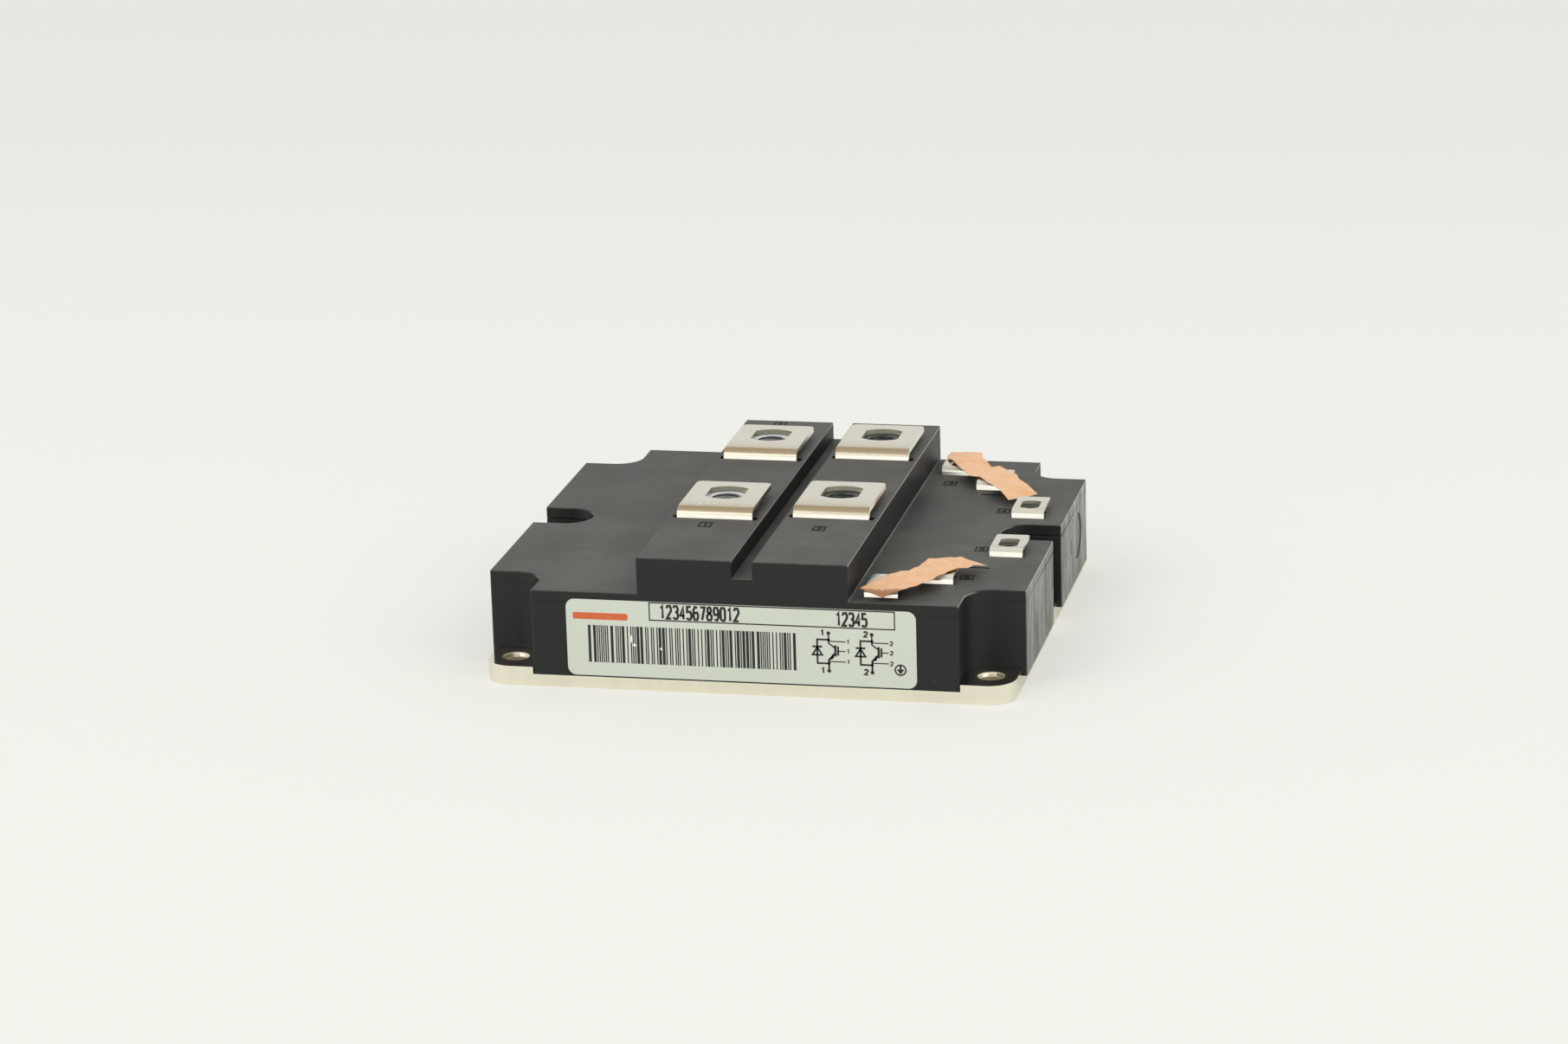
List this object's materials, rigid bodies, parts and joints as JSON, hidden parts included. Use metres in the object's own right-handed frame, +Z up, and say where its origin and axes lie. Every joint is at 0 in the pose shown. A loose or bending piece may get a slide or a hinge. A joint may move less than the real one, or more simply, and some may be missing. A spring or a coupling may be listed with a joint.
{
  "type": "igbt module",
  "caption": "Dual power transistor module: flat metal base with screw notches, black housing, bent screw terminals on two ridges, small gate terminals, shorting foils on them.",
  "frame": {"origin": "centre of the baseplate's underside, at the heatsink's face", "axes": "+X along the longer side, towards the auxiliary terminals; +Y away from the labelled side; +Z up, away from the heatsink"},
  "size_m": [0.14, 0.1301, 0.038],
  "materials": {
    "baseplate": "nickel-plated copper, warm grey, dull with brighter rims at the holes",
    "housing_frame": "glass-filled black plastic, matt, greyed with dust",
    "lid": "glass-filled black plastic, matt, greyed with dust",
    "label": "pale printed film",
    "power_terminal": "nickel-plated copper, satin, with faint rolling lines",
    "aux_terminal": "nickel-plated copper, satin",
    "power_nut": "zinc-plated steel",
    "aux_nut": "zinc-plated steel",
    "copper_foil": "bright crumpled copper",
    "silicone_gel": "clear soft gel",
    "ceramic": "white alumina or nitride",
    "copper_track": "bare copper",
    "transistor_chip": "metallised silicon",
    "diode_chip": "metallised silicon",
    "bond_wire": "bright drawn wire",
    "gate_lead": "insulated wire",
    "emitter_lead": "insulated wire",
    "collector_lead": "insulated wire"
  },
  "bodies": {
    "root": {"baseplate": "baseplate", "housing_frame": "housing_frame", "lid": "lid", "label": "label", "gel_filling": "silicone_gel", "power_terminal_front_left": "power_terminal", "power_nut_front_left": "power_nut", "ceramic_tile_front_left": "ceramic", "copper_tracks_front_left": "copper_track", "transistor_chips_front_left": "transistor_chip", "diode_chips_front_left": "diode_chip", "bond_wires_front_left": "bond_wire", "power_terminal_front_right": "power_terminal", "power_nut_front_right": "power_nut", "ceramic_tile_front_right": "ceramic", "copper_tracks_front_right": "copper_track", "transistor_chips_front_right": "transistor_chip", "diode_chips_front_right": "diode_chip", "bond_wires_front_right": "bond_wire", "power_terminal_rear_left": "power_terminal", "power_nut_rear_left": "power_nut", "ceramic_tile_rear_left": "ceramic", "copper_tracks_rear_left": "copper_track", "transistor_chips_rear_left": "transistor_chip", "diode_chips_rear_left": "diode_chip", "bond_wires_rear_left": "bond_wire", "power_terminal_rear_right": "power_terminal", "power_nut_rear_right": "power_nut", "ceramic_tile_rear_right": "ceramic", "copper_tracks_rear_right": "copper_track", "transistor_chips_rear_right": "transistor_chip", "diode_chips_rear_right": "diode_chip", "bond_wires_rear_right": "bond_wire", "aux_terminal_front_outer": "aux_terminal", "aux_nut_front_outer": "aux_nut", "aux_terminal_front_slant": "aux_terminal", "aux_nut_front_slant": "aux_nut", "aux_terminal_front_side": "aux_terminal", "aux_nut_front_side": "aux_nut", "aux_terminal_rear_outer": "aux_terminal", "aux_nut_rear_outer": "aux_nut", "aux_terminal_rear_slant": "aux_terminal", "aux_nut_rear_slant": "aux_nut", "aux_terminal_rear_side": "aux_terminal", "aux_nut_rear_side": "aux_nut", "shorting_foil_front": "copper_foil", "gate_lead_front": "gate_lead", "emitter_lead_front": "emitter_lead", "collector_lead_front": "collector_lead", "gate_link_front": "gate_lead", "shorting_foil_rear": "copper_foil", "gate_lead_rear": "gate_lead", "emitter_lead_rear": "emitter_lead", "collector_lead_rear": "collector_lead", "gate_link_rear": "gate_lead"}
  },
  "joints": []
}
